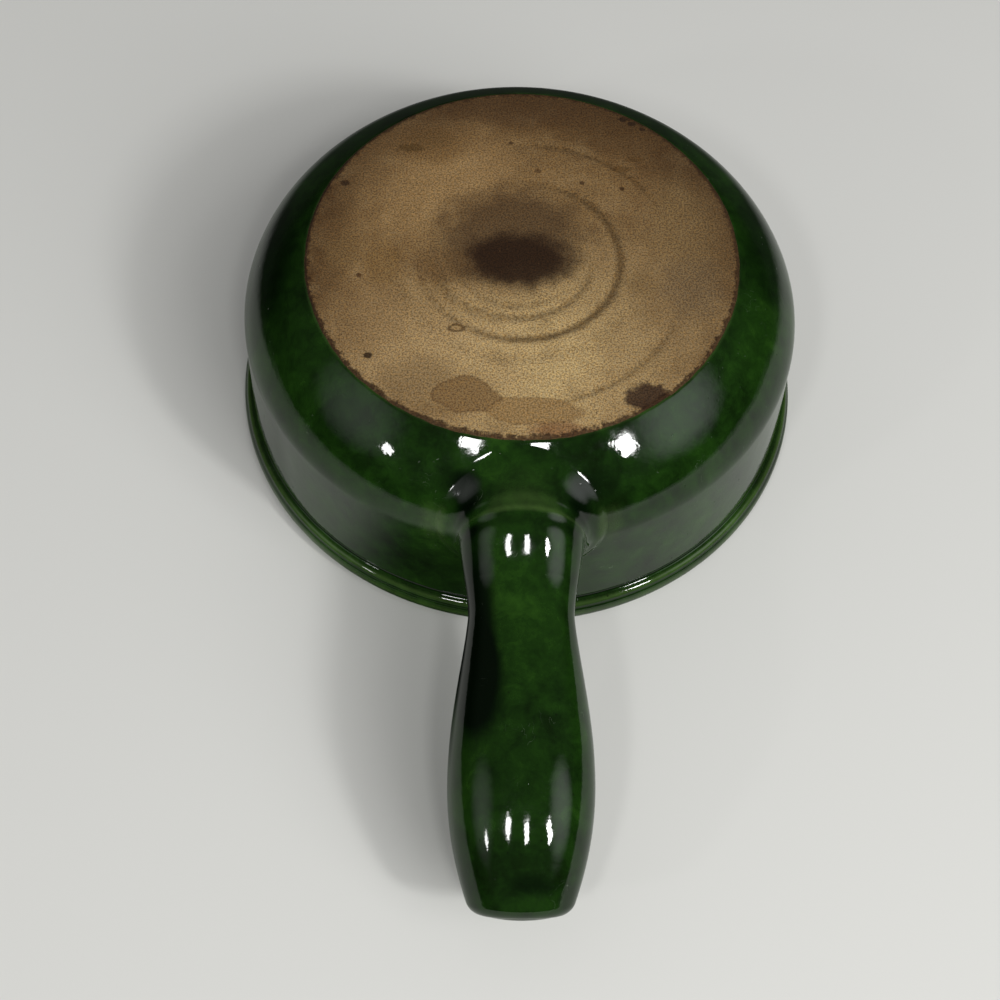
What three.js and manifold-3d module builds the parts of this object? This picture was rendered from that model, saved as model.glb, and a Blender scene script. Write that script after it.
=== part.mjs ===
// Glazed stoneware fondue pot: a wide thrown bowl with a flat bare base, a hollow handle that rises
// from its belly, and the collar of luting clay that joins the two.
// Millimetres, +Z up. The origin is the centre of the base's underside; the handle points along -Y.

import * as THREE from 'three';
import { mergeVertices } from 'three/addons/utils/BufferGeometryUtils.js';
import Module from 'manifold-3d';

// Bowl, outside: every radius is set in from the rim's
const bowlHeight = 78.2;
const rimRadius = 100;
const bellyInset = 3.8;
const shoulderInset = 23.4;
const bellyHeight = 29.2;
// Powers of the shoulder's curve at the base and at the belly: 2 is round, 1 a straight chamfer
const baseFullness = 1.2;
const bellyFullness = 1.6;

// Bowl, lip: measured out from the wall and down from the rim
const lipProjection = 3.1;
const lipRound = 4.8;
const grooveDrop = 11.2;
const grooveWidth = 2.6;
const grooveDepth = 0.9;
const rimFlatWidth = 2.4;
const rimInnerRound = 3.6;

// Bowl, inside
const bowlWall = 6.5;
const floorThickness = 8;
const floorBendWidth = 29.7;
const floorBendHeight = 26;

// Handle: its axis leaves the belly's widest circle and climbs outwards
const handleRootHeight = 25.2;
const handleRise = 9.5;
const handleLength = 119;
const handleWall = 7;
// The outer part bends up off the axis, and the power gives how fast the bend sets in
const bendFrom = 66;
const tipLift = 9.5;
const bendEasing = 1.5;
// Thickness of the handle's oval section against its width, at three places
const neckShare = 0.66;
const gripShare = 0.8;
const tipShare = 0.76;
const neckWidth = 34;
const neckAt = 26;
const rootSwell = 4.5;
// Powers of the swell towards the root and towards the grip
const rootEasing = 1.5;
const gripEasing = 1.3;
// Power with which the hollow closes in towards the tip
const hollowEasing = 4;
const gripWidth = 46;
const gripAt = 81;
const tipWidth = 31;
const tipRound = 3.6;
const tipCrown = 1;
const tipWall = 8;
// The end face looks up and outwards by this much more than the axis does
const tipLean = 18;
const ventDiameter = 7;

// Luting collar: a run-out on the wall, a soft ridge round the root, then a taper to the neck
const collarLength = 20;
const collarRebate = 1.5;
const runOutWidth = 52;
const runOutRise = 22;
const runOutDrop = 19.5;
const ridgeWidth = 41;
const ridgeThickness = 34;
const ridgeOut = 1;
const ridgeLean = 5.5;
// Angles of the collar's outline to the handle's axis, at the sides and, added, underneath
const ridgeInnerAngle = 24;
const ridgeOuterAngle = 7;
const ridgeUndersideAngle = 16;
// Angle at which the run-out leaves the wall
const runOutAngle = 24;

// Clearance between pieces that touch, and how far a cutting body runs past what it cuts
const clearance = 0.3;
const cutOverrun = 12;
const weldDistance = 0.0003;

// Facets
const bowlSegments = 72;
const handleSegments = 36;
const curveSteps = 10;
const roundSteps = 4;

const bellyRadius = rimRadius - bellyInset;
const baseRadius = bellyRadius - shoulderInset;
const wallTopRadius = rimRadius - lipProjection;
const lipBulgeHeight = bowlHeight - lipRound;
const grooveHeight = bowlHeight - grooveDrop;
const innerRadius = bellyRadius - bowlWall;

const glazeColour = 0x2c4a26;
const glazeRoughness = 0.12;

const wasm = await Module();
wasm.setup();

const radians = THREE.MathUtils.degToRad;
const mix = THREE.MathUtils.lerp;
const clamp = THREE.MathUtils.clamp;

function range(count) {
  return Array.from({ length: count + 1 }, (_, i) => i / count);
}

// Bodies and boolean work

function toManifold(geometry) {
  const bare = geometry.clone();
  bare.deleteAttribute('normal');
  bare.deleteAttribute('uv');
  const merged = mergeVertices(bare, weldDistance);
  const mesh = new wasm.Mesh({
    numProp: 3,
    vertProperties: new Float32Array(merged.attributes.position.array),
    triVerts: new Uint32Array(merged.index.array),
  });
  return new wasm.Manifold(mesh);
}

function fromManifold(solid) {
  const mesh = solid.getMesh();
  const geometry = new THREE.BufferGeometry();
  geometry.setAttribute('position', new THREE.BufferAttribute(mesh.vertProperties, 3));
  geometry.setIndex(new THREE.BufferAttribute(mesh.triVerts, 1));
  geometry.computeVertexNormals();
  return geometry;
}

// Skins rings of equal length, in order, and closes both ends with a fan to a given point
function loft(rings, startPoint, endPoint) {
  const positions = [];
  const indices = [];
  const around = rings[0].length;
  for (const ring of rings) {
    for (const point of ring) positions.push(point.x, point.y, point.z);
  }
  const startIndex = rings.length * around;
  positions.push(startPoint.x, startPoint.y, startPoint.z);
  positions.push(endPoint.x, endPoint.y, endPoint.z);
  const last = (rings.length - 1) * around;
  for (let j = 0; j < around; j += 1) {
    const next = (j + 1) % around;
    for (let i = 0; i < rings.length - 1; i += 1) {
      const low = i * around;
      const high = low + around;
      indices.push(low + next, low + j, high + j);
      indices.push(low + next, high + j, high + next);
    }
    indices.push(startIndex, j, next);
    indices.push(startIndex + 1, last + next, last + j);
  }
  const geometry = new THREE.BufferGeometry();
  geometry.setAttribute('position', new THREE.Float32BufferAttribute(positions, 3));
  geometry.setIndex(indices);
  return geometry;
}

// A LatheGeometry turns about Y, so it is stood up to turn about Z
function turned(profile, segments) {
  const geometry = new THREE.LatheGeometry(profile, segments);
  return geometry.rotateX(Math.PI / 2);
}

// Bowl

function shoulderPoint(share) {
  const angle = share * Math.PI / 2;
  const radius = mix(baseRadius, bellyRadius, Math.sin(angle) ** (2 / baseFullness));
  const height = bellyHeight * (1 - Math.cos(angle) ** (2 / bellyFullness));
  return new THREE.Vector2(radius, height);
}

function wallRadiusAt(height) {
  const share = (height - bellyHeight) / (grooveHeight - bellyHeight);
  return mix(bellyRadius, wallTopRadius, share * share);
}

// Outside of the bowl from the base's edge to the rim's flat, as radius and height
function outerProfile() {
  const points = range(curveSteps).map(shoulderPoint);
  const grooveLow = grooveHeight - grooveWidth / 2;
  const grooveHigh = grooveHeight + grooveWidth / 2;
  for (const share of range(roundSteps).slice(1)) {
    const height = mix(bellyHeight, grooveLow, share);
    points.push(new THREE.Vector2(wallRadiusAt(height), height));
  }
  points.push(new THREE.Vector2(wallTopRadius - grooveDepth, grooveHeight));
  for (const share of range(roundSteps)) {
    const angle = share * Math.PI / 2;
    const radius = mix(wallTopRadius, rimRadius, Math.sin(angle));
    const height = mix(grooveHigh, lipBulgeHeight, 1 - Math.cos(angle));
    points.push(new THREE.Vector2(radius, height));
  }
  for (const share of range(roundSteps).slice(1)) {
    const angle = share * Math.PI / 2;
    const radius = rimRadius - lipRound * (1 - Math.cos(angle));
    const height = mix(lipBulgeHeight, bowlHeight, Math.sin(angle));
    points.push(new THREE.Vector2(radius, height));
  }
  return points;
}

// Inside of the bowl from the rim's flat to the floor's edge
function innerProfile() {
  const flatInner = rimRadius - lipRound - rimFlatWidth;
  const points = [];
  for (const share of range(roundSteps)) {
    const angle = share * Math.PI / 2;
    const radius = mix(flatInner, innerRadius, Math.sin(angle));
    const height = bowlHeight - rimInnerRound * (1 - Math.cos(angle));
    points.push(new THREE.Vector2(radius, height));
  }
  for (const share of range(curveSteps)) {
    const angle = share * Math.PI / 2;
    const radius = innerRadius - floorBendWidth * (1 - Math.cos(angle));
    const height = floorThickness + floorBendHeight * (1 - Math.sin(angle));
    points.push(new THREE.Vector2(radius, height));
  }
  return points;
}

function bowlGeometry() {
  const base = new THREE.Vector2(0, 0);
  const floor = new THREE.Vector2(0, floorThickness);
  return turned([base, ...outerProfile(), ...innerProfile(), floor], bowlSegments);
}

// The bowl's outside filled solid and grown by the clearance, which trims what is luted to it
function bowlCutter() {
  const outside = outerProfile();
  const grown = outside.map((point, i) => {
    const before = outside[Math.max(i - 1, 0)];
    const after = outside[Math.min(i + 1, outside.length - 1)];
    const along = after.clone().sub(before).normalize();
    return new THREE.Vector2(point.x + clearance * along.y, point.y - clearance * along.x);
  });
  const foot = new THREE.Vector2(0, -clearance);
  const top = new THREE.Vector2(0, bowlHeight + clearance);
  const end = new THREE.Vector2(grown[grown.length - 1].x, top.y);
  return toManifold(turned([foot, ...grown, end, top], bowlSegments));
}

// Handle

const rise = radians(handleRise);
const axisDirection = new THREE.Vector3(0, -Math.cos(rise), Math.sin(rise));
const sideDirection = new THREE.Vector3(1, 0, 0);
const upDirection = new THREE.Vector3(0, Math.sin(rise), Math.cos(rise));
const rootCentre = new THREE.Vector3(0, -bellyRadius, handleRootHeight);

// How far the handle's middle lies above its straight axis
function liftAt(along) {
  const share = Math.max(along - bendFrom, 0) / (handleLength - bendFrom);
  return tipLift * share ** bendEasing;
}

function handlePoint(along, side, up) {
  return rootCentre.clone()
    .addScaledVector(axisDirection, along)
    .addScaledVector(sideDirection, side)
    .addScaledVector(upDirection, up + liftAt(along));
}

// A size that goes from its value at the neck to the grip's, and on to the tip's
function sizeAt(along, neckSize, gripSize, tipSize) {
  const swell = clamp((along - neckAt) / (gripAt - neckAt), 0, 1);
  const fall = clamp((along - gripAt) / (handleLength - gripAt), 0, 1);
  const near = mix(neckSize, gripSize, Math.sin(swell * Math.PI / 2) ** gripEasing);
  return mix(near, tipSize, fall * fall);
}

// Half the handle's width and thickness at a distance along its axis, before its tip is rounded
function halfWidthAt(along) {
  const rootShare = Math.max(neckAt - along, 0) / neckAt;
  return sizeAt(along, neckWidth, gripWidth, tipWidth) / 2 + rootSwell * rootShare ** rootEasing;
}

function halfThicknessAt(along) {
  return halfWidthAt(along) * sizeAt(along, neckShare, gripShare, tipShare);
}

// One oval ring; a lean slides its upper side back along the axis
function handleRing(along, halfWidth, halfThickness, lean) {
  return Array.from({ length: handleSegments }, (_, j) => {
    const angle = j / handleSegments * 2 * Math.PI;
    const side = halfWidth * Math.sin(angle);
    const up = halfThickness * Math.cos(angle);
    return handlePoint(along - up * lean, side, up);
  });
}

function leanAt(along) {
  const share = clamp((along - gripAt) / (handleLength - gripAt), 0, 1);
  return Math.tan(radians(tipLean)) * share;
}

const insideBowl = -ridgeWidth / 2 - cutOverrun;
const tenonHalfWidth = halfWidthAt(collarLength) - collarRebate;
const tenonHalfThickness = halfThicknessAt(collarLength) - collarRebate;

function handleRings() {
  const rings = [];
  rings.push(handleRing(insideBowl, tenonHalfWidth, tenonHalfThickness, 0));
  rings.push(handleRing(collarLength + clearance, tenonHalfWidth, tenonHalfThickness, 0));
  const fromCollar = range(roundSteps).map((share) => mix(collarLength + clearance, neckAt, share));
  const fromNeck = range(curveSteps).slice(1).map((share) => mix(neckAt, gripAt, share));
  const fromGrip = range(curveSteps).slice(1).map((share) => mix(gripAt, handleLength - tipRound, share));
  const stations = [...fromCollar, ...fromNeck, ...fromGrip];
  for (const along of stations) {
    rings.push(handleRing(along, halfWidthAt(along), halfThicknessAt(along), leanAt(along)));
  }
  for (const share of range(roundSteps).slice(1)) {
    const angle = share * Math.PI / 2;
    const along = handleLength - tipRound * (1 - Math.sin(angle));
    const inset = tipRound * (1 - Math.cos(angle));
    rings.push(handleRing(along, halfWidthAt(along) - inset, halfThicknessAt(along) - inset, leanAt(along)));
  }
  return rings;
}

// The hollow that keeps so thick a piece of clay sound in the kiln, open at the root
function hollowRings() {
  const rings = [];
  const tenonWidth = tenonHalfWidth - handleWall;
  const tenonThickness = tenonHalfThickness - handleWall;
  rings.push(handleRing(insideBowl - cutOverrun, tenonWidth, tenonThickness, 0));
  rings.push(handleRing(collarLength, tenonWidth, tenonThickness, 0));
  const hollowEnd = handleLength - tipWall;
  for (const share of range(curveSteps)) {
    const along = mix(neckAt + handleWall, hollowEnd, Math.sin(share * Math.PI / 2));
    const inset = handleWall + handleWall / 2 * share ** hollowEasing;
    rings.push(handleRing(along, halfWidthAt(along) - inset, halfThicknessAt(along) - inset, leanAt(along)));
  }
  return rings;
}

function ventCutter() {
  const radius = ventDiameter / 2;
  const reach = tipWall + cutOverrun;
  const profile = [[0, 0], [radius, 0], [radius, reach], [0, reach]];
  const pin = turned(profile.map(([r, z]) => new THREE.Vector2(r, z)), handleSegments);
  const start = handlePoint(handleLength - tipWall - cutOverrun / 2, 0, 0);
  const end = handlePoint(handleLength, 0, 0);
  const outwards = end.sub(start).normalize();
  pin.applyQuaternion(new THREE.Quaternion().setFromUnitVectors(new THREE.Vector3(0, 0, 1), outwards));
  pin.translate(start.x, start.y, start.z);
  return toManifold(pin);
}

function handleGeometry() {
  const start = handlePoint(insideBowl, 0, 0);
  const end = handlePoint(handleLength + tipCrown, 0, 0);
  const outside = toManifold(loft(handleRings(), start, end));
  const hollowStart = handlePoint(insideBowl - cutOverrun, 0, 0);
  const hollowEnd = handlePoint(handleLength - tipWall, 0, 0);
  const hollow = toManifold(loft(hollowRings(), hollowStart, hollowEnd));
  const solid = outside.subtract(hollow).subtract(ventCutter()).subtract(bowlCutter());
  return fromManifold(solid);
}

// Luting collar

// Where a line along the handle's axis, at a given offset from it, meets the bowl's outside
function distanceToWall(side, up) {
  const outside = outerProfile();
  function isInside(along) {
    const point = handlePoint(along, side, up);
    const radius = Math.hypot(point.x, point.y);
    if (point.z <= 0) return false;
    const k = outside.findIndex((corner) => corner.y >= point.z);
    const low = outside[Math.max(k - 1, 0)];
    const high = outside[k];
    const share = high.y > low.y ? (point.z - low.y) / (high.y - low.y) : 0;
    return radius < mix(low.x, high.x, share);
  }
  let near = insideBowl;
  let far = neckAt;
  while (far - near > weldDistance) {
    const middle = (near + far) / 2;
    if (isInside(middle)) near = middle;
    else far = middle;
  }
  return near;
}

// Cubic between two points, given the direction in which it leaves the first and enters the second
function cubic(start, startAngle, end, endAngle, share) {
  const span = start.distanceTo(end);
  const leave = new THREE.Vector2(Math.cos(startAngle), -Math.sin(startAngle)).multiplyScalar(span / 3);
  const enter = new THREE.Vector2(Math.cos(endAngle), -Math.sin(endAngle)).multiplyScalar(span / 3);
  const curve = new THREE.CubicBezierCurve(start, start.clone().add(leave), end.clone().sub(enter), end);
  return curve.getPoint(share);
}

// The collar's outline at one angle round the handle, as distance along and offset share from the axis
function collarOutline(angle) {
  const across = Math.abs(Math.sin(angle));
  const upward = Math.cos(angle);
  const underside = Math.max(-upward, 0);
  const oval = (halfWidth, halfThickness) => Math.hypot(halfWidth * across, halfThickness * upward);
  const runOutHeight = upward > 0 ? runOutRise : runOutDrop;
  const runOut = oval(runOutWidth / 2, runOutHeight);
  const ridge = oval(ridgeWidth / 2, ridgeThickness / 2);
  const neckOffset = oval(halfWidthAt(collarLength), halfThicknessAt(collarLength));
  const runOutAt = distanceToWall(runOutWidth / 2 * Math.sin(angle), runOutHeight * upward);
  const wallPoint = new THREE.Vector2(runOutAt, runOut);
  const ridgePoint = new THREE.Vector2(ridgeOut + ridgeLean * upward, ridge);
  const neckPoint = new THREE.Vector2(collarLength, neckOffset);
  const innerAngle = radians(mix(ridgeInnerAngle, ridgeOuterAngle, underside));
  const outerAngle = radians(ridgeOuterAngle + ridgeUndersideAngle * underside);
  const wallAngle = radians(mix(90 - runOutAngle, runOutAngle, underside));
  const neckAngle = radians(ridgeOuterAngle * (1 - underside));
  const rising = range(curveSteps / 2).map((share) => cubic(wallPoint, wallAngle, ridgePoint, innerAngle, share));
  const falling = range(curveSteps / 2).map((share) => cubic(ridgePoint, outerAngle, neckPoint, neckAngle, share));
  return [...rising, ...falling.slice(1)];
}

function collarRings() {
  const angles = Array.from({ length: handleSegments }, (_, j) => j / handleSegments * 2 * Math.PI);
  const outlines = angles.map(collarOutline);
  const steps = outlines[0].length;
  const rings = [];
  for (let i = 0; i < steps; i += 1) {
    const share = i / (steps - 1);
    rings.push(outlines.map((outline, j) => {
      const offset = outline[i].y;
      // Rings go from the run-out's proportions to the neck's, both measured on the same angles
      const across = Math.sin(angles[j]);
      const upward = Math.cos(angles[j]);
      const drop = upward > 0 ? runOutRise : runOutDrop;
      const widthNow = mix(runOutWidth / 2, halfWidthAt(collarLength), share);
      const thickNow = mix(drop, halfThicknessAt(collarLength), share);
      const direction = new THREE.Vector2(widthNow * across, thickNow * upward).normalize();
      return handlePoint(outline[i].x, offset * direction.x, offset * direction.y);
    }));
  }
  return rings;
}

function collarGeometry() {
  const start = handlePoint(insideBowl, 0, 0);
  const end = handlePoint(collarLength, 0, 0);
  const plug = toManifold(loft(collarRings(), start, end));
  const boreStart = insideBowl - cutOverrun;
  const boreEnd = collarLength + cutOverrun;
  const boreWidth = tenonHalfWidth + clearance;
  const boreThickness = tenonHalfThickness + clearance;
  const boreRings = [boreStart, boreEnd].map((along) => handleRing(along, boreWidth, boreThickness, 0));
  const bore = toManifold(loft(boreRings, handlePoint(boreStart, 0, 0), handlePoint(boreEnd, 0, 0)));
  return fromManifold(plug.subtract(bore).subtract(bowlCutter()));
}

function glazed(name, geometry) {
  const material = new THREE.MeshStandardMaterial({
    color: glazeColour,
    roughness: glazeRoughness,
    metalness: 0,
  });
  const mesh = new THREE.Mesh(geometry, material);
  mesh.name = name;
  return mesh;
}

const pot = new THREE.Group();
pot.add(glazed('bowl', bowlGeometry()));
pot.add(glazed('handle', handleGeometry()));
pot.add(glazed('luting_collar', collarGeometry()));

export default pot;
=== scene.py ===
"""Green-glazed stoneware fondue pot, dressed for the photograph: glaze, bare clay, lamps and camera.

Shapes are worked out in millimetres, in the frame of the CAD model, and scaled to metres last.
"""

import math

import bpy
import numpy as np
from mathutils import Matrix, Vector


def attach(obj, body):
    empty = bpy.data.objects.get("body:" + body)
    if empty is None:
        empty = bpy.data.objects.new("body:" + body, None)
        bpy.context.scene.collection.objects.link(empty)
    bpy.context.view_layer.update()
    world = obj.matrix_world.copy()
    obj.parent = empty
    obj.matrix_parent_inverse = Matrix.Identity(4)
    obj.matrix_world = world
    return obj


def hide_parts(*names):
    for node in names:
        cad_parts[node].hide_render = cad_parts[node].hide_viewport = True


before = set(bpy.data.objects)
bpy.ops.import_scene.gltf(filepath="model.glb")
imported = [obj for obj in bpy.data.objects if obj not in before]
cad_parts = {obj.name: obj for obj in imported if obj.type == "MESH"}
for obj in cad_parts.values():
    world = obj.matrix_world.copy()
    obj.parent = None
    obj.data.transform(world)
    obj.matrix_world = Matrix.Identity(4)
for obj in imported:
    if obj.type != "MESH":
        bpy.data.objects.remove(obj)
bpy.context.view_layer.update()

MM = 0.001

# The bowl, as it was thrown
BOWL_HEIGHT = 78.2
RIM_RADIUS = 100.0
BELLY_RADIUS = 96.2
BASE_RADIUS = 72.8
BELLY_HEIGHT = 29.2
BASE_FULLNESS = 1.02
BELLY_FULLNESS = 1.8
WALL_TOP_RADIUS = 96.9
LIP_ROUND = 4.8
GROOVE_HEIGHT = 67.0
GROOVE_WIDTH = 2.6
GROOVE_DEPTH = 0.9
LIP_LINE_HEIGHT = 70.4
LIP_LINE_DEPTH = 0.35
RIM_FLAT_WIDTH = 2.4
RIM_INNER_ROUND = 3.6
INNER_RADIUS = 89.7
FLOOR_BEND_WIDTH = 29.7
FLOOR_BEND_HEIGHT = 26.0
FLOOR_THICKNESS = 8.0
FLOOR_MIDDLE = 2.0

# Where the glaze stops above the bare base, how thick its edge stands, and the size, waves round the base
# and start in radians of each way in which that edge wanders
GLAZE_LINE = 0.4
GLAZE_EDGE = 0.3
GLAZE_WANDERS = ((0.1, 3, 1), (0.05, 11, 4), (0.04, 23, 0), (0.05, 61, 2))

# The bare base reaches up under the glaze to this height, this far inside it, and its edge is finely laid out
LAP_HEIGHT = 2.2
LAP_GAP = 0.25
BASE_EDGE = 1.4

# Radius, half width, middle and spread in degrees from the handle, and depth of each mark left by turning
TURNING_RINGS = (
    (33.6, 1.5, -55, 118, 0.5),
    (29.0, 2.2, 52, 36, 0.25),
    (25.2, 1.5, -20, 62, 0.3),
    (21.5, 1.2, 20, 55, 0.2),
    (50.3, 0.9, -150, 34, 0.32),
    (59.0, 1.2, -36, 26, 0.25),
    (43.0, 2.4, 30, 90, 0.12),
)
RING_DEPTH = 0.5
RING_DRIFT = 1.6

# The clay is palest about this point of the base, in metres, and brownest this far from it
PALE_MIDDLE = (-0.008, -0.04, 0)
PALE_REACH = 0.1

# The handle
HANDLE_ROOT_HEIGHT = 25.2
HANDLE_RISE = math.radians(9.5)
HANDLE_LENGTH = 119.0
BEND_FROM = 66.0
TIP_LIFT = 9.5
BEND_EASING = 1.5
NECK_SHARE = 0.66
GRIP_SHARE = 0.8
TIP_SHARE = 0.76
NECK_WIDTH = 34.0
NECK_AT = 26.0
ROOT_SWELL = 4.5
ROOT_EASING = 1.5
GRIP_EASING = 1.3
GRIP_WIDTH = 46.0
GRIP_AT = 81.0
TIP_WIDTH = 31.0
TIP_ROUND = 3.6
TIP_CROWN = 1.0
TIP_WALL = 8.0
TIP_LEAN = math.radians(18)
VENT_DIAMETER = 7.0
VENT_ROUND = 1.2

# The collar of luting clay round the handle's root
COLLAR_LENGTH = 20.0
RUN_OUT_WIDTH = 58.0
RUN_OUT_RISE = 23.0
RUN_OUT_DROP = 20.5
RUN_OUT_SINK = 0.06
RIDGE_WIDTH = 41.0
RIDGE_THICKNESS = 34.0
RIDGE_OUT = 1.0
RIDGE_LEAN = 5.5
RIDGE_INNER_ANGLE = math.radians(24)
RIDGE_OUTER_ANGLE = math.radians(7)
RIDGE_UNDERSIDE_ANGLE = math.radians(16)
RIDGE_SOFTNESS = 1.3
RIDGE_SMOOTHINGS = 30

# Place as a share of the collar's length, width and height of each form under the handle: the swell before
# the ridge, and the crest, bulge and dip that a finger drawn round inside it left
UNDERSIDE_RELIEF = ((0.39, 0.045, 0.5), (0.5, 0.03, 0.1), (0.62, 0.2, 2.5), (0.55, 0.04, -0.3))
# The same for the clay's edge at the sides, which stands off the wall
WING_RELIEF = (0.14, 0.08, 0.4)

# Height, width and depth of each band round the bowl where the glaze has pooled, or, if negative, run thin
GLAZE_BANDS = (
    (GROOVE_HEIGHT, 1.0, 1.0),
    (LIP_LINE_HEIGHT, 0.45, 0.6),
    (68.9, 0.8, -0.45),
    (72.6, 1.6, -0.35),
    (0.5, 0.4, -0.3),
)

# Middle, half size and depth of each place where the glaze has pooled, or, if negative, run thin; some
# entries are painted dark reflections, and one is partly painted sheen
POOLS_AND_PAINTED_LIGHT = (
    # Painted dark reflection on the left of the handle's neck, drawn as pooled glaze (this entry and the
    # next)
    ((15.5, -130, 20), (7.5, 34, 18), 0.95),
    ((13.5, -150, 22), (9, 17, 16), 0.8),
    # Painted dark reflection on the shoulder at each side of the handle's root, drawn as pooled glaze (this
    # entry and the next)
    ((18, -92, 8), (6, 11, 12), 0.9),
    ((-19, -94, 8), (6, 11, 12), 0.9),
    ((24, -84, 8), (9, 5, 9), 0.5),
    ((-26, -84, 8), (9, 5, 9), 0.5),
    # Painted dark reflection just short of the handle's tip, drawn as pooled glaze
    ((-3, -208.5, 42), (9, 3.6, 14), 0.6),
    # Darker over the handle's grip
    ((0, -181, 26), (24, 13, 30), 0.35),
    ((88, 5, 10), (14, 34, 18), 0.7),
    ((-86, 20, 10), (16, 40, 18), 0.6),
    ((60, -60, 10), (12, 12, 10), 0.5),
    # Thin glaze over the swell before the collar's ridge, with painted sheen
    ((0, -86, 8), (10, 7, 8), -0.12),
    ((30, -94, 20), (5, 8, 14), -0.3),
    ((-30, -94, 20), (5, 8, 14), -0.3),
)

# Middle and half size in millimetres, softness of the edge, raggedness, size of the rags, colour and strength
# of each stain on the base
STAINS = (
    ((28, 34), (30, 24), 1.5, 0.3, 20.0, "#b3976c", 0.45),
    ((36, -38), (26, 18), 1.5, 0.3, 20.0, "#b8a078", 0.4),
    ((-52, -10), (24, 40), 1.5, 0.35, 18.0, "#6f5a3e", 0.4),
    ((4, 9), (24, 20), 0.8, 0.25, 10.0, "#463320", 0.78),
    ((19, -5), (12, 7), 1.0, 0.25, 8.0, "#5b4529", 0.5),
    ((1.5, -1.5), (19, 11), 0.7, 0.2, 6.0, "#261406", 0.9),
    ((28, -4), (10, 7), 0.9, 0.3, 9.0, "#6d5638", 0.5),
    ((61, 3), (6, 9), 0.5, 0.3, 7.0, "#7d6643", 0.55),
    ((52, -22), (13, 16), 1.2, 0.4, 14.0, "#8a7250", 0.5),
    ((-40, -11), (5, 5), 1.0, 0.3, 6.0, "#75603f", 0.45),
    ((-56, 14), (12, 22), 1.2, 0.4, 14.0, "#85714f", 0.5),
    ((34, -51), (12, 8), 1.0, 0.3, 9.0, "#7b6749", 0.5),
    ((18, -57), (10, 7.5), 0.15, 0.3, 12.0, "#5c4125", 0.7),
    ((18, -57), (9.3, 6.8), 0.2, 0.3, 12.0, "#8f7650", 0.6),
    ((-4, -63), (15, 5.5), 0.15, 0.3, 12.0, "#694d2c", 0.6),
    ((-4, -63), (14.2, 5.0), 0.2, 0.3, 12.0, "#a2885e", 0.6),
    ((21.9, -30.2), (2.8, 1.8), 0.4, 0.2, 3.0, "#4b3316", 0.75),
    ((21.9, -30.2), (1.7, 1.0), 0.5, 0.2, 3.0, "#a58d64", 0.8),
    ((-40.5, -57), (7.5, 5.5), 0.4, 0.3, 4.0, "#2c1712", 0.88),
    ((-12, -70), (9, 3), 0.8, 0.3, 7.0, "#6e4226", 0.6),
    ((33, 50), (17, 8), 0.9, 0.4, 12.0, "#6f5532", 0.6),
    ((-3, 66), (42, 7), 1.0, 0.4, 14.0, "#5d4830", 0.55),
    ((-40, 55), (22, 9), 1.0, 0.4, 12.0, "#665033", 0.5),
    ((38.5, 47), (5, 1.8), 0.5, 0.5, 3.0, "#54401f", 0.7),
    ((31.5, 51), (6.5, 4), 1.0, 0.4, 6.0, "#6a5434", 0.5),
    ((66, 9.5), (4.5, 4.2), 0.4, 0.3, 4.0, "#715838", 0.55),
    ((47, -4), (6.5, 8.5), 0.7, 0.35, 6.0, "#7a6039", 0.5),
    ((-57, -13), (10, 12), 0.9, 0.4, 8.0, "#6e5f4a", 0.45),
    ((-34.5, 38.5), (3.5, 1.3), 0.5, 0.3, 3.0, "#5b4424", 0.7),
    ((-39.5, 43), (3.5, 1.2), 0.5, 0.3, 3.0, "#5b4424", 0.6),
    ((61, 31), (1.6, 1.3), 0.5, 0.2, 3.0, "#2b1b10", 0.9),
    ((50.6, -41.6), (1.5, 1.2), 0.5, 0.3, 2.0, "#2a1a0c", 0.9),
    ((54.8, -8.9), (0.9, 0.9), 0.5, 0.2, 2.0, "#4a2f17", 0.8),
    ((3.7, 49.9), (0.7, 0.7), 0.5, 0.2, 2.0, "#3a2512", 0.8),
    ((-20.9, 32.1), (0.8, 0.8), 0.5, 0.2, 2.0, "#3a2512", 0.8),
    ((-34.7, 29.7), (0.9, 0.9), 0.5, 0.2, 2.0, "#3a2512", 0.8),
    ((-5.7, 37.3), (1.2, 1.0), 0.5, 0.3, 2.0, "#513a1f", 0.7),
    ((-36, 61.5), (1.8, 1.2), 0.4, 0.5, 2.0, "#1c120b", 0.95),
    ((-39, 59.5), (1.4, 1.0), 0.4, 0.5, 2.0, "#1c120b", 0.95),
    ((-42.5, 57), (1.1, 0.9), 0.4, 0.5, 2.0, "#1c120b", 0.95),
)

# How finely the surfaces are laid out, and how many rows are the bowl's inside and the collar's run-out
AROUND_BOWL = 288
AROUND_HANDLE = 144
COLLAR_ROWS = 60
GLAZE_EDGE_ROWS = 14
INNER_ROWS = 140
RUN_OUT_ROWS = 14

# The camera of the photograph, which shows the pot from below
CAMERA_PLACE = Vector((16.05, -419.6, -536.2))
CAMERA_RISE = math.radians(58.91)
CAMERA_HEADING = math.radians(1.54)
CAMERA_ROLL = math.radians(1.89)
LENS = 72.0
SENSOR = 36.0

# The boards lie this far off the pot and are open inside this radius, in millimetres, and they fade
# between these distances, in metres
BOARD_GAP = 0.3
BOARD_HOLE = 96.5
BOARD_FADE = (0.6, 1.2)

# Direction and share of each soft light that the glaze mirrors, the cosine at its edge, and its level
SOFT_LIGHTS = (((-0.8, -0.27, -0.53), 0.75), ((0.8, -0.27, -0.53), 0.25))
SOFT_EDGE = 0.93
SOFT_LEVEL = 1.9

# Every lamp is aimed at this place on the pot, in metres
LAMPS_AIM = (0, -0.04, 0.04)

# The board that the glaze mirrors dims between these places towards the back and in the pot's own shade
DIM_FROM = (0.08, 0.19)
SHADE_MIDDLE = (0.04, -0.108, 0.079)
SHADE_REACH = (0.055, 0.01)


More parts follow.
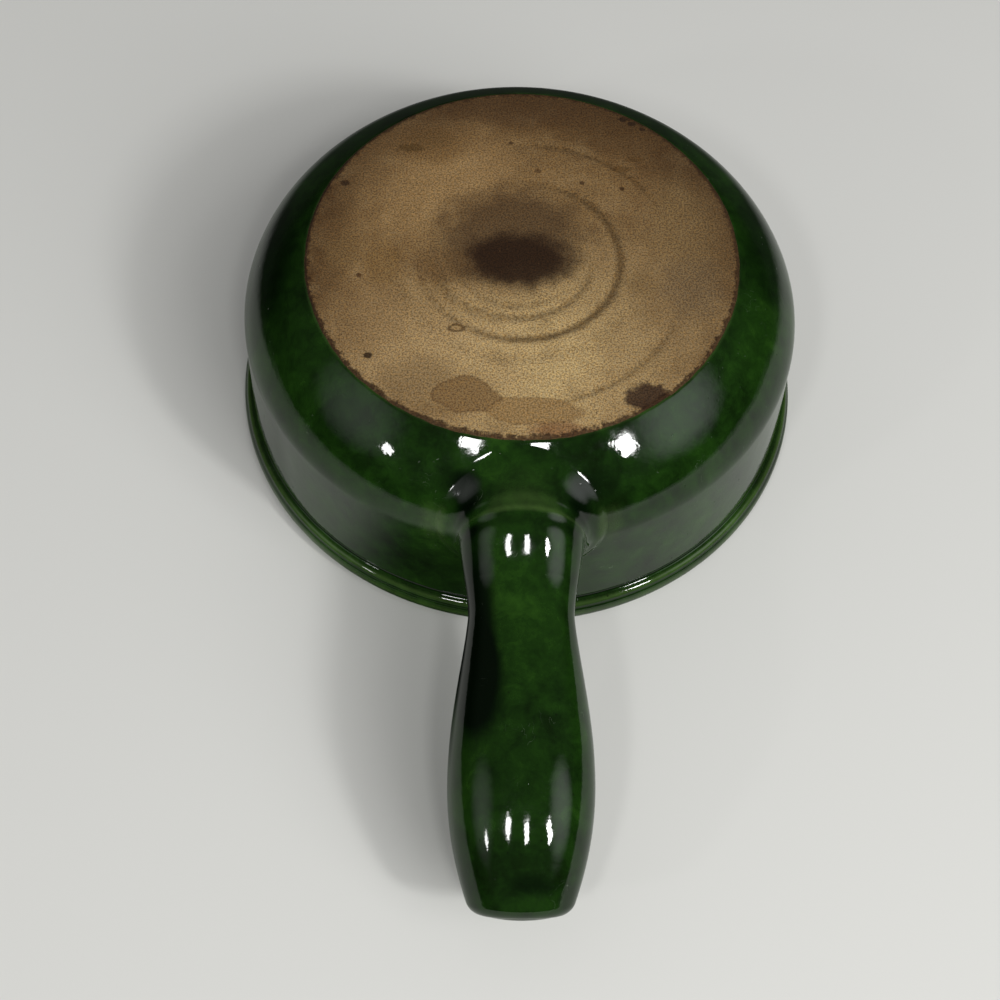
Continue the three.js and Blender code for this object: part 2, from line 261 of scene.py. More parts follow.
def mix(a, b, share):
    return a + (b - a) * share


def steps(count):
    return np.linspace(0, 1, count + 1)


def hump(value, centre, width):
    """A smooth bump of height 1."""
    return np.exp(-(((value - centre) / width) ** 2))


# Bowl


def shoulder(share):
    angle = share * math.pi / 2
    radius = mix(BASE_RADIUS, BELLY_RADIUS, np.sin(angle) ** (2 / BASE_FULLNESS))
    height = BELLY_HEIGHT * (1 - np.cos(angle) ** (2 / BELLY_FULLNESS))
    return np.stack([radius, height], -1)


def wall(share):
    height = mix(BELLY_HEIGHT, GROOVE_HEIGHT + GROOVE_WIDTH / 2, share)
    radius = mix(BELLY_RADIUS, WALL_TOP_RADIUS, share**2)
    across = np.clip(np.abs(height - GROOVE_HEIGHT) / (GROOVE_WIDTH / 2), 0, 1)
    radius = radius - GROOVE_DEPTH * (1 + np.cos(across * math.pi)) / 2
    return np.stack([radius, height], -1)


def lip(share):
    """Outside of the rolled rim, from the groove over its bulge to the flat on top."""
    low = np.clip(share * 2, 0, 1) * math.pi / 2
    high = np.clip(share * 2 - 1, 0, 1) * math.pi / 2
    bulge = BOWL_HEIGHT - LIP_ROUND
    radius = mix(WALL_TOP_RADIUS, RIM_RADIUS, np.sin(low)) - LIP_ROUND * (1 - np.cos(high))
    height = mix(GROOVE_HEIGHT + GROOVE_WIDTH / 2, bulge, 1 - np.cos(low)) + LIP_ROUND * np.sin(high)
    radius = radius - LIP_LINE_DEPTH * hump(height, LIP_LINE_HEIGHT, 0.5)
    return np.stack([radius, height], -1)


def inside(share):
    """Inside of the bowl, from the rim's flat down the wall to the floor's edge."""
    rounding = np.clip(share * 6, 0, 1) * math.pi / 2
    drop = np.clip(share * 3 - 0.5, 0, 1)
    bend = np.clip(share * 2 - 1, 0, 1) * math.pi / 2
    flat_inner = RIM_RADIUS - LIP_ROUND - RIM_FLAT_WIDTH
    radius = mix(flat_inner, INNER_RADIUS, np.sin(rounding)) - FLOOR_BEND_WIDTH * (1 - np.cos(bend))
    height = BOWL_HEIGHT - RIM_INNER_ROUND * (1 - np.cos(rounding))
    height = mix(height, FLOOR_THICKNESS + FLOOR_BEND_HEIGHT, drop) - FLOOR_BEND_HEIGHT * np.sin(bend)
    return np.stack([radius, height], -1)


OUTSIDE = np.concatenate([shoulder(steps(60)), wall(steps(76))[1:], lip(steps(40))[1:]])


def turn(profile, around):
    """Turns a profile of radius and height about the bowl's axis, one row per profile point."""
    angle = np.arange(around) / around * 2 * math.pi
    radius, height = profile[:, 0:1], profile[:, 1:2] + 0 * angle
    return np.stack([radius * np.sin(angle), -radius * np.cos(angle), height], -1)


def bowl_rows():
    """Rows of the glazed surface, from its uneven lower edge over the rim to the middle of the floor."""
    flat = np.array([[RIM_RADIUS - LIP_ROUND - RIM_FLAT_WIDTH / 2, BOWL_HEIGHT]])
    floor = np.linspace(INNER_RADIUS - FLOOR_BEND_WIDTH, FLOOR_MIDDLE, 16)
    floor = np.stack([floor, np.full(len(floor), FLOOR_THICKNESS)], -1)
    start = int(np.searchsorted(OUTSIDE[:, 1], LAP_HEIGHT))
    profile = np.concatenate([OUTSIDE[start:], flat, inside(steps(120)), floor[1:]])
    upper = turn(profile, AROUND_BOWL)
    # The lower edge wanders round the base and ends in a soft bead
    angle = np.arange(AROUND_BOWL) / AROUND_BOWL * 2 * math.pi
    line = GLAZE_LINE + sum(size * np.sin(waves * angle + turn_by) for size, waves, turn_by in GLAZE_WANDERS)
    rows = []
    for share in steps(GLAZE_EDGE_ROWS)[:-1]:
        height = mix(line, OUTSIDE[start, 1], share)
        radius = np.interp(height, OUTSIDE[:, 1], OUTSIDE[:, 0])
        lift = GLAZE_EDGE * (1 - math.sqrt(1 - (1 - min(share * 3, 1)) ** 2))
        radius, height = radius - lift * 0.6, height + lift
        rows.append(np.stack([radius * np.sin(angle), -radius * np.cos(angle), height], -1))
    return np.concatenate([rows, upper])


def base_rows():
    """Rows of the bare base from its middle out and up under the glaze, with the marks of turning."""
    edge = BASE_RADIUS - BASE_EDGE
    radius = np.concatenate([np.linspace(0.6, edge, 150), mix(edge, BASE_RADIUS, steps(6)[1:])])
    angle = np.arange(AROUND_BOWL) / AROUND_BOWL * 2 * math.pi
    height = np.zeros((len(radius), AROUND_BOWL))
    mark = np.zeros_like(height)
    for at, reach, middle, spread, depth in TURNING_RINGS:
        away = np.angle(np.exp(1j * (angle - math.radians(middle)))) / math.radians(spread)
        groove = hump(radius[:, None], at + RING_DRIFT * away, reach) * np.exp(-(away**4))
        height += depth * groove
        mark = np.maximum(mark, groove * depth / RING_DEPTH)
    radius = radius[:, None] + 0 * angle
    rows = np.stack([radius * np.sin(angle), -radius * np.cos(angle), height], -1)
    up = mix(0, LAP_HEIGHT, steps(8)[1:])
    lap = np.stack([np.interp(up, OUTSIDE[:, 1], OUTSIDE[:, 0]) - LAP_GAP, up + 0.02], -1)
    return np.concatenate([rows, turn(lap, AROUND_BOWL)]), np.pad(mark, ((0, len(lap)), (0, 0)))


# Handle and collar

AXIS = np.array([0, -math.cos(HANDLE_RISE), math.sin(HANDLE_RISE)])
SIDE = np.array([1.0, 0, 0])
UP = np.array([0, math.sin(HANDLE_RISE), math.cos(HANDLE_RISE)])
ROOT = np.array([0, -BELLY_RADIUS, HANDLE_ROOT_HEIGHT])
AROUND = np.arange(AROUND_HANDLE) / AROUND_HANDLE * 2 * math.pi
ACROSS, UPWARD = np.sin(AROUND), np.cos(AROUND)


def handle_point(along, side, up):
    """A point by its place along the handle's straight axis and off it; the outer part bends up."""
    along, side, up = np.broadcast_arrays(along, side, up)
    bent = np.clip(along - BEND_FROM, 0, None) / (HANDLE_LENGTH - BEND_FROM)
    up = up + TIP_LIFT * bent**BEND_EASING
    return ROOT + along[..., None] * AXIS + side[..., None] * SIDE + up[..., None] * UP


def size_at(along, neck, grip, tip):
    swell = np.clip((along - NECK_AT) / (GRIP_AT - NECK_AT), 0, 1)
    fall = np.clip((along - GRIP_AT) / (HANDLE_LENGTH - GRIP_AT), 0, 1)
    return mix(mix(neck, grip, np.sin(swell * math.pi / 2) ** GRIP_EASING), tip, fall**2)


def half_width(along):
    root = np.clip(NECK_AT - along, 0, None) / NECK_AT
    return size_at(along, NECK_WIDTH, GRIP_WIDTH, TIP_WIDTH) / 2 + ROOT_SWELL * root**ROOT_EASING


def half_thickness(along):
    return half_width(along) * size_at(along, NECK_SHARE, GRIP_SHARE, TIP_SHARE)


def oval(along, inset, lean):
    up = (half_thickness(along) - inset) * UPWARD
    return handle_point(along - up * lean, (half_width(along) - inset) * ACROSS, up)


def handle_rows():
    """Rings of the handle from the collar over its tip and into the vent."""
    rows = []
    lean = math.tan(TIP_LEAN)
    for along in np.linspace(COLLAR_LENGTH, HANDLE_LENGTH - TIP_ROUND, 100):
        tipped = min(max((along - GRIP_AT) / (HANDLE_LENGTH - GRIP_AT), 0), 1)
        rows.append(oval(along, 0, lean * tipped))
    for share in steps(12)[1:]:
        bend = share * math.pi / 2
        along = HANDLE_LENGTH - TIP_ROUND * (1 - math.sin(bend))
        rows.append(oval(along, TIP_ROUND * (1 - math.cos(bend)), lean))
    width, thickness = half_width(HANDLE_LENGTH) - TIP_ROUND, half_thickness(HANDLE_LENGTH) - TIP_ROUND
    vent = VENT_DIAMETER / 2
    mouth = vent + VENT_ROUND
    for share in steps(12)[1:]:
        side = mix(width, mouth, share) * ACROSS
        up = mix(thickness, mouth, share) * UPWARD
        along = HANDLE_LENGTH + TIP_CROWN * (1 - (1 - share) ** 2)
        rows.append(handle_point(along - up * lean, side, up))
    for share in steps(6)[1:]:
        bend = share * math.pi / 2
        radius = mouth - VENT_ROUND * math.sin(bend)
        along = HANDLE_LENGTH + TIP_CROWN - VENT_ROUND * (1 - math.cos(bend))
        rows.append(handle_point(along - radius * UPWARD * lean, radius * ACROSS, radius * UPWARD))
    rows.append(handle_point(HANDLE_LENGTH - TIP_WALL - 0 * UPWARD, vent * ACROSS, vent * UPWARD))
    return np.array(rows)


def distance_to_wall(side, up):
    """How far along the handle's axis a line at this offset from it meets the bowl's outside."""
    near, far = np.full(side.shape, -BELLY_RADIUS / 2), np.full(side.shape, NECK_AT)
    for _ in range(40):
        middle = (near + far) / 2
        point = handle_point(middle, side, up)
        wall_here = np.interp(point[..., 2], OUTSIDE[:, 1], OUTSIDE[:, 0], left=-1)
        is_inside = np.hypot(point[..., 0], point[..., 1]) < wall_here
        near, far = np.where(is_inside, middle, near), np.where(is_inside, far, middle)
    return near


def wall_normal(point):
    radius = np.hypot(point[..., 0], point[..., 1])
    lift = np.gradient(OUTSIDE[:, 0]) / (np.gradient(OUTSIDE[:, 1]) + 1e-4)
    slope = np.interp(point[..., 2], OUTSIDE[:, 1], lift)
    normal = np.stack([point[..., 0] / radius, point[..., 1] / radius, -slope], -1)
    return normal / np.linalg.norm(normal, axis=-1, keepdims=True)


def cubic(start, leave, end, enter, share):
    """Cubic curve that leaves its start along one vector and enters its end along another."""
    a, b = start + leave / 3, end - enter / 3
    weights = (1 - share) ** 3, 3 * share * (1 - share) ** 2, 3 * share**2 * (1 - share), share**3
    return start * weights[0] + a * weights[1] + b * weights[2] + end * weights[3]


def heading(angle, start, end):
    """A vector as long as the span, turned in from the handle's axis by an angle."""
    offset = end - ROOT - ((end - ROOT) @ AXIS)[:, None] * AXIS
    outward = offset / np.linalg.norm(offset, axis=1, keepdims=True)
    span = np.linalg.norm(end - start, axis=1, keepdims=True)
    return (np.cos(angle)[:, None] * AXIS - np.sin(angle)[:, None] * outward) * span


def collar_rows():
    """Rings of the collar from its run-out on the wall, over the soft ridge, to the handle's neck."""
    under = np.clip(-UPWARD, 0, None)
    reach = np.where(UPWARD > 0, RUN_OUT_RISE, RUN_OUT_DROP)
    side, up = RUN_OUT_WIDTH / 2 * ACROSS, reach * UPWARD
    start = handle_point(distance_to_wall(side, up), side, up)
    normal = wall_normal(start)
    start = start - RUN_OUT_SINK * normal
    along = RIDGE_OUT + RIDGE_LEAN * UPWARD
    ridge = handle_point(along, RIDGE_WIDTH / 2 * ACROSS, RIDGE_THICKNESS / 2 * UPWARD)
    neck = oval(COLLAR_LENGTH, 0, 0)
    neck_slope = oval(COLLAR_LENGTH + 0.5, 0, 0) - oval(COLLAR_LENGTH - 0.5, 0, 0)
    towards = ridge - start
    along_wall = towards - (towards * normal).sum(1)[:, None] * normal
    arrive = heading(mix(RIDGE_INNER_ANGLE, RIDGE_OUTER_ANGLE, under), start, ridge)
    leave = heading(RIDGE_OUTER_ANGLE + RIDGE_UNDERSIDE_ANGLE * under, ridge, neck)
    span = np.linalg.norm(neck - ridge, axis=1)[:, None]
    rows = [cubic(start, along_wall, ridge, arrive, share) for share in steps(COLLAR_ROWS)]
    rows += [cubic(ridge, leave, neck, neck_slope * span, share) for share in steps(COLLAR_ROWS)[1:]]
    rows = np.array(rows)
    # Wet fingers have smoothed the ridge: each outline is averaged over a few millimetres round it
    count = len(rows)
    share = np.arange(count) / (count - 1)
    for _ in range(RIDGE_SMOOTHINGS):
        softened = rows.copy()
        softened[1:-1] = (rows[:-2] + 2 * rows[1:-1] + rows[2:]) / 4
        weight = (RIDGE_SOFTNESS * hump(share, 0.5, 0.22)).clip(0, 1)[:, None, None]
        rows = mix(rows, softened, weight)
    # The relief fades out towards both ends of the collar
    share = share[:, None]
    relief = sum(height * hump(share, at, width) for at, width, height in UNDERSIDE_RELIEF) * under
    at, width, height = WING_RELIEF
    relief = relief + height * hump(share, at, width) * np.abs(ACROSS) ** 3
    relief = relief * np.clip(share / 0.1, 0, 1) * np.clip((1 - share) / 0.1, 0, 1)
    return rows + relief[..., None] * grid_normals(rows)


def pools_and_painted_light(points):
    """How deep the glaze lies at each point, from the list, which also holds painted dark reflections and
    painted sheen.
    """
    depth = np.zeros(points.shape[:-1])
    for middle, size, amount in POOLS_AND_PAINTED_LIGHT:
        offset = (points - np.array(middle)) / np.array(size)
        depth += amount * np.exp(-((offset**2).sum(-1) ** 2))
    return depth


def grid_normals(rows):
    down = np.gradient(rows, axis=0)
    across = np.roll(rows, -1, axis=1) - np.roll(rows, 1, axis=1)
    normal = np.cross(down, across)
    return normal / np.maximum(np.linalg.norm(normal, axis=-1, keepdims=True), 1e-9)


def skin(name, rows, closed_at=None, normals=None, marks=None):
    """A mesh over rows of points that each close on themselves; marks are values per point by name."""
    count, around = rows.shape[:2]
    points = rows.reshape(-1, 3)
    faces = []
    for i in range(count - 1):
        for j in range(around):
            k = (j + 1) % around
            faces.append((i * around + k, i * around + j, (i + 1) * around + j, (i + 1) * around + k))
    if closed_at == "start":
        points = np.vstack([points, rows[0].mean(0)])
        faces += [(len(points) - 1, j, (j + 1) % around) for j in range(around)]
    if closed_at == "end":
        points = np.vstack([points, rows[-1].mean(0)])
        last = (count - 1) * around
        faces += [(len(points) - 1, last + (j + 1) % around, last + j) for j in range(around)]
    mesh = bpy.data.meshes.new(name)
    mesh.from_pydata((points * MM).tolist(), [], faces)
    mesh.shade_smooth()
    for mark, values in (marks or {}).items():
        flat = values.reshape(-1)
        flat = np.append(flat, np.full(len(points) - len(flat), flat[-1]))
        layer = mesh.attributes.new(mark, "FLOAT", "POINT")
        layer.data.foreach_set("value", flat.astype(np.float32))
    if normals is not None:
        extra = len(points) - normals.reshape(-1, 3).shape[0]
        flat = np.vstack([normals.reshape(-1, 3)] + [AXIS[None]] * extra)
        mesh.normals_split_custom_set_from_vertices(flat.tolist())
    piece = bpy.data.objects.new(name, mesh)
    bpy.context.scene.collection.objects.link(piece)
    return piece


# Materials

SMOOTH = {"interpolation_type": "SMOOTHSTEP"}
COLOURS = {"data_type": "RGBA"}
TIMES = {"operation": "MULTIPLY"}


def colour(code):
    """Linear colour of an sRGB hex code."""
    parts = [int(code[i : i + 2], 16) / 255 for i in (1, 3, 5)]
    return [p / 12.92 if p <= 0.04045 else ((p + 0.055) / 1.055) ** 2.4 for p in parts] + [1]


def per_mm(size):
    """Texture scale, in features to a metre, of a feature of this size in millimetres."""
    return 1 / (size * MM)


def add_node(tree, kind, settings=None):
    """Adds a node and sets its properties and sockets; an output is linked, a hex code becomes a colour."""
    node = tree.nodes.new("ShaderNode" + kind)
    for key, value in (settings or {}).items():
        if isinstance(key, str) and hasattr(node, key):
            setattr(node, key, value)
        elif isinstance(value, bpy.types.NodeSocket):
            tree.links.new(value, node.inputs[key])
        else:
            node.inputs[key].default_value = colour(value) if isinstance(value, str) else value
    return node


def new_material(name):
    material = bpy.data.materials.new(name)
    material.use_nodes = True
    material.node_tree.nodes.clear()
    return material


def fill_ramp(ramp, stops):
    """Gives a colour ramp its stops, from a list of places and hex codes."""
    elements = ramp.color_ramp.elements
    while len(elements) < len(stops):
        elements.new(0.5)
    for element, (place, code) in zip(elements, stops):
        element.position = place
        element.color = colour(code)


def tint(tree, first, second, value, low, high, most=1.0, way="MIX"):
    """Lays a second colour over a first one as a value passes smoothly from a low level to a high one."""
    share = add_node(tree, "MapRange", {**SMOOTH, 0: value, 1: low, 2: high, 4: most}).outputs[0]
    return add_node(tree, "Mix", {**COLOURS, "blend_type": way, 0: share, 6: first, 7: second}).outputs[2]


def uneven(tree, place, distance, size, amount, detail=4, roughness=0.6):
    """A distance pushed in and out by noise of this size in millimetres."""
    settings = {"Vector": place, "Scale": per_mm(size), "Detail": detail, "Roughness": roughness}
    noise = add_node(tree, "TexNoise", settings).outputs[0]
    push = add_node(tree, "Math", {"operation": "SUBTRACT", 0: noise, 1: 0.5}).outputs[0]
    return add_node(tree, "Math", {"operation": "MULTIPLY_ADD", 0: push, 1: amount, 2: distance}).outputs[0]


def dots(tree, place, spacing, rim, chances, most=1.0, channel=0):
    """The share of round dots in a part of the cells of this size in millimetres."""
    cells = add_node(tree, "TexVoronoi", {"Vector": place, "Scale": per_mm(spacing)})
    chance = add_node(tree, "SeparateColor", {"Color": cells.outputs["Color"]}).outputs[channel]
    inside_rim = {**SMOOTH, 0: cells.outputs["Distance"], 1: rim[0], 2: rim[1]}
    dot = add_node(tree, "MapRange", inside_rim).outputs[0]
    some = add_node(tree, "MapRange", {**SMOOTH, 0: chance, 1: chances[0], 2: chances[1], 4: most}).outputs[0]
    return add_node(tree, "Math", {**TIMES, 0: dot, 1: some}).outputs[0]


def blot(tree, place, middle, size, edge, ragged, rag_size, most=1.0):
    """A stain's share: highest inside an uneven oval of this middle and half size in millimetres."""
    centre = (middle[0] * MM, middle[1] * MM, 0)
    spread = (per_mm(size[0]), per_mm(size[1]), 0)
    shift = add_node(tree, "VectorMath", {"operation": "SUBTRACT", 0: place, 1: centre}).outputs[0]
    scaled = add_node(tree, "VectorMath", {**TIMES, 0: shift, 1: spread}).outputs[0]
    length = add_node(tree, "VectorMath", {"operation": "LENGTH", 0: scaled}).outputs["Value"]
    length = uneven(tree, place, length, rag_size, 4 * ragged)
    settings = {**SMOOTH, 0: length, 1: 1 + edge / 2, 2: 1 - edge / 2, 4: most}
    return add_node(tree, "MapRange", settings).outputs[0]


def green_glaze():
    """Bottle-green glaze over buff clay: glassy and deep, dark where it gathers and olive where it lies
    shallow, with painted dark reflections and painted sheen drawn the same way.
    """
    material = new_material("bottle_green_glaze_dipped_and_fired")
    tree = material.node_tree
    place = add_node(tree, "TexCoord").outputs["Object"]
    depth = add_node(tree, "Attribute", {"attribute_name": "glaze_depth_and_painted_light"}).outputs["Fac"]

    # Clouds a few centimetres across and mottling of a few millimetres, from uneven dipping
    clouds = {"Vector": place, "Scale": per_mm(38), "Detail": 3, "Roughness": 0.6}
    clouds = add_node(tree, "TexNoise", clouds).outputs[0]
    mottle = {"Vector": place, "Scale": per_mm(6), "Detail": 6, "Roughness": 0.7, "Distortion": 0.3}
    mottle = add_node(tree, "TexNoise", mottle).outputs[0]
    tone = add_node(tree, "Mix", {0: 0.45, 2: clouds, 3: mottle}).outputs[0]
    ramp = add_node(tree, "ValToRGB", {"Fac": tone})
    fill_ramp(ramp, [(0.3, "#070f03"), (0.44, "#0e2107"), (0.56, "#17310b"), (0.74, "#294a14")])
    # Pooled glaze is nearly black, and thin glaze lets the buff clay through. The same mark paints dark
    # reflections near black, and painted sheen in the olive of thin glaze
    body = tint(tree, ramp.outputs["Color"], "#020a02", depth, 0.05, 0.95)
    thin_and_sheen = add_node(tree, "MapRange", {**SMOOTH, 0: depth, 1: 0.0, 2: -1.0}).outputs[0]
    patchy = add_node(tree, "MapRange", {**SMOOTH, 0: tone, 1: 0.25, 2: 0.7, 3: 0.5}).outputs[0]
    thin_and_sheen = add_node(tree, "Math", {**TIMES, 0: thin_and_sheen, 1: patchy}).outputs[0]
    body = add_node(tree, "Mix", {**COLOURS, 0: thin_and_sheen, 6: body, 7: "#56703a"}).outputs[2]
    # Specks of iron burnt out of the clay, well under a millimetre across and about a centimetre apart
    specks = dots(tree, place, 5, (0.1, 0.05), (0.6, 0.65), 0.6)
    body = add_node(tree, "Mix", {**COLOURS, 0: specks, 6: body, 7: "#0b1207"}).outputs[2]
    # Handling has left the gloss a little uneven, with hair scratches that catch the light
    wear = {"Vector": place, "Scale": per_mm(16), "Detail": 6, "Roughness": 0.7}
    wear = add_node(tree, "TexNoise", wear).outputs[0]
    gloss = {**SMOOTH, 0: wear, 1: 0.42, 2: 0.74, 3: 0.03, 4: 0.14}
    roughness = add_node(tree, "MapRange", gloss).outputs[0]
    hairs = {"Vector": place, "Scale": per_mm(11), "Detail": 1, "Distortion": 2.5}
    hairs = add_node(tree, "TexNoise", hairs).outputs[0]
    off_line = add_node(tree, "Math", {"operation": "SUBTRACT", 0: hairs, 1: 0.5}).outputs[0]
    off_line = add_node(tree, "Math", {"operation": "ABSOLUTE", 0: off_line}).outputs[0]
    line = add_node(tree, "MapRange", {**SMOOTH, 0: off_line, 1: 0.006, 2: 0.001}).outputs[0]
    worn = add_node(tree, "MapRange", {**SMOOTH, 0: wear, 1: 0.58, 2: 0.68, 4: 0.25}).outputs[0]
    scratch = add_node(tree, "Math", {**TIMES, 0: line, 1: worn}).outputs[0]
    body = add_node(tree, "Mix", {**COLOURS, 0: scratch, 6: body, 7: "#8d9a86"}).outputs[2]

    # The skin of a dipped glaze: slow waves from the fingers and the brush, then orange peel and pinholes
    waves = {"Vector": place, "Scale": per_mm(22), "Detail": 2, "Roughness": 0.5}
    waves = add_node(tree, "TexNoise", waves).outputs[0]
    peel = {"Vector": place, "Scale": per_mm(3.2), "Detail": 3, "Roughness": 0.5}
    peel = add_node(tree, "TexNoise", peel).outputs[0]
    holes = dots(tree, place, 3.5, (0.12, 0.0), (0.75, 0.8), channel=1)
    bump = add_node(tree, "Bump", {"Strength": 0.22, "Distance": 0.8 * MM, "Height": waves}).outputs[0]
    peel = {"Strength": 0.35, "Distance": 0.1 * MM, "Height": peel, "Normal": bump}
    bump = add_node(tree, "Bump", peel).outputs[0]
    holes = {"invert": True, "Strength": 0.5, "Distance": 0.15 * MM, "Height": holes, "Normal": bump}
    bump = add_node(tree, "Bump", holes).outputs[0]

    finish = {"Base Color": body, "Roughness": roughness, "IOR": 1.52, "Normal": bump}
    shader = add_node(tree, "BsdfPrincipled", finish)
    add_node(tree, "OutputMaterial", {"Surface": shader.outputs["BSDF"]})
    return material


def bare_clay():
    """Sandy buff stoneware, turned on the wheel and fired bare: dull, grainy, scorched and stained."""
    material = new_material("bare_buff_stoneware_turned_and_fired")
    tree = material.node_tree
    place = add_node(tree, "TexCoord").outputs["Object"]
    ring = add_node(tree, "Attribute", {"attribute_name": "turning"}).outputs["Fac"]

    # Palest about one point and browner away from it, in clouds a few centimetres across
    away = add_node(tree, "VectorMath", {"operation": "DISTANCE", 0: place, 1: PALE_MIDDLE}).outputs["Value"]
    away = add_node(tree, "Math", {**TIMES, 0: away, 1: 1 / PALE_REACH}).outputs[0]
    away = uneven(tree, place, away, 24, 0.9, 6, 0.62)
    ramp = add_node(tree, "ValToRGB", {"Fac": away})
    fill_ramp(ramp, [(0.08, "#bfa97d"), (0.4, "#9f8862"), (0.72, "#7d6543"), (1.0, "#5a4327")])
    # Worn, paler patches and darker ones between them
    patches = {"Vector": place, "Scale": per_mm(13), "Detail": 4, "Roughness": 0.55}
    patches = add_node(tree, "TexNoise", patches).outputs[0]
    body = tint(tree, ramp.outputs["Color"], "#c3ae86", patches, 0.45, 0.8, 0.22)
    body = tint(tree, body, "#5a4428", patches, 0.55, 0.2, 0.4)
    # The turned grooves are drawn darker
    darker_grooves = add_node(tree, "Math", {**TIMES, 0: ring, 1: 0.8}).outputs[0]
    body = add_node(tree, "Mix", {**COLOURS, 0: darker_grooves, 6: body, 7: "#513e22"}).outputs[2]
    for middle, size, edge, ragged, rag_size, code, strength in STAINS:
        stain = blot(tree, place, middle, size, edge, ragged, rag_size, strength)
        body = add_node(tree, "Mix", {**COLOURS, 0: stain, 6: body, 7: code}).outputs[2]
    # Glaze that soaked into the clay left a thin, ragged brown line along its edge
    flat = add_node(tree, "VectorMath", {**TIMES, 0: place, 1: (1, 1, 0)}).outputs[0]
    radius = add_node(tree, "VectorMath", {"operation": "LENGTH", 0: flat}).outputs["Value"]
    radius = uneven(tree, place, radius, 2.5, 6 * MM, 4, 0.7)
    body = tint(tree, body, "#33200f", radius, 71.6 * MM, 72.8 * MM, 0.9)
    # Away from the handle the outer part is drawn darker
    back = add_node(tree, "SeparateXYZ", {0: place}).outputs["Y"]
    behind = add_node(tree, "MapRange", {**SMOOTH, 0: back, 1: -50 * MM, 2: 30 * MM}).outputs[0]
    outer = add_node(tree, "MapRange", {**SMOOTH, 0: radius, 1: 52 * MM, 2: 73 * MM, 4: 0.5}).outputs[0]
    darker_back_edge = add_node(tree, "Math", {**TIMES, 0: behind, 1: outer}).outputs[0]
    body = add_node(tree, "Mix", {**COLOURS, 0: darker_back_edge, 6: body, 7: "#3f2c17"}).outputs[2]
    # Fine dark specks in the clay, and soot that lies round the scorch like pepper
    specks = dots(tree, place, 2.6, (0.16, 0.08), (0.86, 0.88), 0.7)
    body = add_node(tree, "Mix", {**COLOURS, 0: specks, 6: body, 7: "#4b3620"}).outputs[2]
    pepper = dots(tree, place, 1.5, (0.3, 0.15), (0.6, 0.65), 0.55)
    near = blot(tree, place, (0, -1), (27, 25), 0.9, 0.3, 12.0)
    pepper = add_node(tree, "Math", {**TIMES, 0: pepper, 1: near}).outputs[0]
    body = add_node(tree, "Mix", {**COLOURS, 0: pepper, 6: body, 7: "#33200e"}).outputs[2]
    # Sand lies in all of it, pale grains and dark ones; real grains of 0.2 to 0.5 mm would be too fine
    # to show, so they are drawn up to twice as coarse
    grain = {"Vector": place, "Scale": per_mm(0.9), "Detail": 4, "Roughness": 0.85}
    grain = add_node(tree, "TexNoise", grain).outputs[0]
    body = tint(tree, body, "#e2d2b0", grain, 0.44, 0.6, 0.7, "OVERLAY")
    sand = {"Vector": place, "Scale": per_mm(0.6), "Detail": 2, "Roughness": 0.8}
    sand = add_node(tree, "TexNoise", sand).outputs[0]
    body = tint(tree, body, "#93826b", sand, 0.42, 0.62, 0.8, "MULTIPLY")

    bump = add_node(tree, "Bump", {"Strength": 0.9, "Distance": 0.35 * MM, "Height": grain}).outputs[0]
    finish = {"Base Color": body, "Roughness": 0.88, "IOR": 1.5, "Specular IOR Level": 0.3, "Normal": bump}
    shader = add_node(tree, "BsdfPrincipled", finish)
    add_node(tree, "OutputMaterial", {"Surface": shader.outputs["BSDF"]})
    return material


# Camera, studio and lamps


def make_camera():
    camera = bpy.data.objects.new("camera", bpy.data.cameras.new("camera"))
    camera.data.lens = LENS
    camera.data.sensor_width = SENSOR
    camera.data.clip_start = 0.01
    camera.data.clip_end = 20
    level = math.cos(CAMERA_RISE)
    forward = (-math.sin(CAMERA_HEADING) * level, math.cos(CAMERA_HEADING) * level, math.sin(CAMERA_RISE))
    forward = Vector(forward)
    right = forward.cross(Vector((0, 0, -1))).normalized()
    up = right.cross(forward)
    rolled_right = math.cos(CAMERA_ROLL) * right + math.sin(CAMERA_ROLL) * up
    rolled_up = math.cos(CAMERA_ROLL) * up - math.sin(CAMERA_ROLL) * right
    facing = Matrix((rolled_right, rolled_up, -forward)).transposed().to_4x4()
    camera.matrix_world = Matrix.Translation(CAMERA_PLACE * MM) @ facing
    bpy.context.scene.collection.objects.link(camera)
    bpy.context.scene.camera = camera


